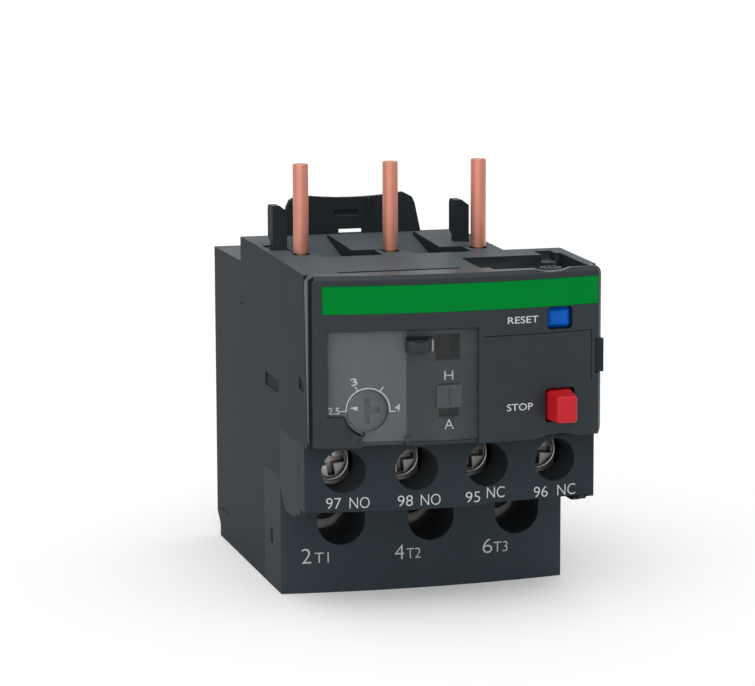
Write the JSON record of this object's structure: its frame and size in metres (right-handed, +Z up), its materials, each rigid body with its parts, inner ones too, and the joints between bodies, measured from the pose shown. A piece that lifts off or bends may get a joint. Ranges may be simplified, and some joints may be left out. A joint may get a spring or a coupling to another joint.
{
  "type": "thermal overload relay",
  "caption": "Compact thermal overload relay with pins for a contactor, setting dial under a clear flap, reset and stop buttons and recessed screw terminals.",
  "frame": {"origin": "middle of the underside of the part's bounding box", "axes": "+Z up along the line pins; +Y towards the back face, so the cover and the stop button face -Y; +X to the right seen from the front"},
  "size_m": [0.0453, 0.0692, 0.066],
  "materials": {
    "housing_plastic": "fine matt moulded",
    "inner_plastic": "natural moulded",
    "green_band": "printed satin",
    "clear_flap": "clear tinted moulded",
    "scale_plastic": "matt",
    "dial_plastic": "matt",
    "flag_plastic": "matt",
    "blue_plastic": "satin",
    "red_plastic": "satin",
    "copper": "bright drawn copper",
    "heater_alloy": "plain wire",
    "bimetal": "rolled strip",
    "brass": "stamped",
    "zinc_steel": "zinc plated",
    "spring_steel": "drawn wire"
  },
  "bodies": {
    "case": {"housing": "housing_plastic", "terminal_block": "housing_plastic", "auxiliary_block": "housing_plastic", "rear_cover": "housing_plastic", "front_cover": "housing_plastic", "marking_band": "green_band", "scale_plate": "scale_plastic", "mechanism_plate": "inner_plastic", "line_pin_1": "copper", "line_pin_2": "copper", "line_pin_3": "copper", "heater_1": "heater_alloy", "heater_2": "heater_alloy", "heater_3": "heater_alloy", "load_terminal_1": "copper", "load_terminal_2": "copper", "load_terminal_3": "copper", "terminal_clamp_1": "zinc_steel", "terminal_clamp_2": "zinc_steel", "terminal_clamp_3": "zinc_steel", "power_screws": "zinc_steel", "aux_screws": "zinc_steel", "aux_clamps": "zinc_steel", "aux_plate_95": "brass", "aux_plate_96": "brass", "aux_plate_97": "brass", "aux_plate_98": "brass", "trip_pivot": "spring_steel"},
    "flap": {"window_flap": "clear_flap"},
    "dial": {"setting_dial": "dial_plastic"},
    "selector": {"reset_selector": "dial_plastic"},
    "indicator": {"trip_indicator": "flag_plastic"},
    "reset": {"reset_button": "blue_plastic", "reset_spring": "spring_steel"},
    "stop": {"stop_button": "red_plastic", "stop_spring": "spring_steel"},
    "strip_1": {"bimetal_1": "bimetal"},
    "strip_2": {"bimetal_2": "bimetal"},
    "strip_3": {"bimetal_3": "bimetal"},
    "pusher": {"pusher_slide": "inner_plastic", "differential_lever": "inner_plastic"},
    "differential": {"differential_slide": "inner_plastic"},
    "lever": {"trip_lever": "inner_plastic", "compensating_strip": "bimetal"},
    "contacts": {"contact_carrier": "inner_plastic", "nc_bridge": "brass", "no_bridge": "brass", "toggle_spring": "spring_steel"}
  },
  "joints": [
    {"name": "flap_hinge", "type": "hinge", "parent": "case", "child": "flap", "pos_m": [-0.0117, -0.03055, 0.02695], "axis": [1, 0, 0], "range_deg": [0, 95]},
    {"name": "dial_turn", "type": "hinge", "parent": "case", "child": "dial", "pos_m": [-0.01384, -0.0254, 0.03132], "axis": [0, 1, 0], "range_deg": [0, 180]},
    {"name": "selector_slide", "type": "slide", "parent": "case", "child": "selector", "axis": [0, 0, -1], "range_m": [0, 0.00125]},
    {"name": "reset_press", "type": "slide", "parent": "case", "child": "reset", "axis": [0, 1, 0], "range_m": [0, 0.0018], "stiffness_N_per_m": 600, "springref_m": -0.0015, "deforming": ["reset_spring"]},
    {"name": "stop_press", "type": "slide", "parent": "case", "child": "stop", "axis": [0, 1, 0], "range_m": [0, 0.0018], "stiffness_N_per_m": 600, "springref_m": -0.0015, "deforming": ["stop_spring"]},
    {"name": "pusher_travel", "type": "slide", "parent": "case", "child": "pusher", "axis": [1, 0, 0], "range_m": [0, 0.0015]},
    {"name": "differential_travel", "type": "slide", "parent": "case", "child": "differential", "axis": [1, 0, 0], "range_m": [0, 0.0015]},
    {"name": "indicator_travel", "type": "slide", "parent": "case", "child": "indicator", "axis": [1, 0, 0], "range_m": [0, 0.0015]},
    {"name": "contact_travel", "type": "slide", "parent": "case", "child": "contacts", "axis": [0, 1, 0], "range_m": [0, 0.00116]},
    {"name": "lever_turn", "type": "hinge", "parent": "case", "child": "lever", "pos_m": [0.0187, -0.016, 0.0374], "axis": [0, 0, 1], "range_deg": [-3.6, 0]},
    {"name": "strip_1_bend", "type": "hinge", "parent": "case", "child": "strip_1", "pos_m": [-0.01325, 0.0116, 0.0172], "axis": [0, 1, 0], "range_deg": [0, 4.6]},
    {"name": "strip_2_bend", "type": "hinge", "parent": "case", "child": "strip_2", "pos_m": [0.00085, 0.0116, 0.0172], "axis": [0, 1, 0], "range_deg": [0, 4.6]},
    {"name": "strip_3_bend", "type": "hinge", "parent": "case", "child": "strip_3", "pos_m": [0.01495, 0.0116, 0.0172], "axis": [0, 1, 0], "range_deg": [0, 4.6]}
  ],
  "couplings": [
    {"joint": "differential_travel", "follows": "pusher_travel", "ratio": 1},
    {"joint": "indicator_travel", "follows": "pusher_travel", "ratio": 1},
    {"joint": "contact_travel", "follows": "pusher_travel", "ratio": 0.76667},
    {"joint": "lever_turn", "follows": "pusher_travel", "rad_per_m": -41.322},
    {"joint": "strip_1_bend", "follows": "pusher_travel", "rad_per_m": 53.191},
    {"joint": "strip_2_bend", "follows": "pusher_travel", "rad_per_m": 53.191},
    {"joint": "strip_3_bend", "follows": "pusher_travel", "rad_per_m": 53.191}
  ]
}
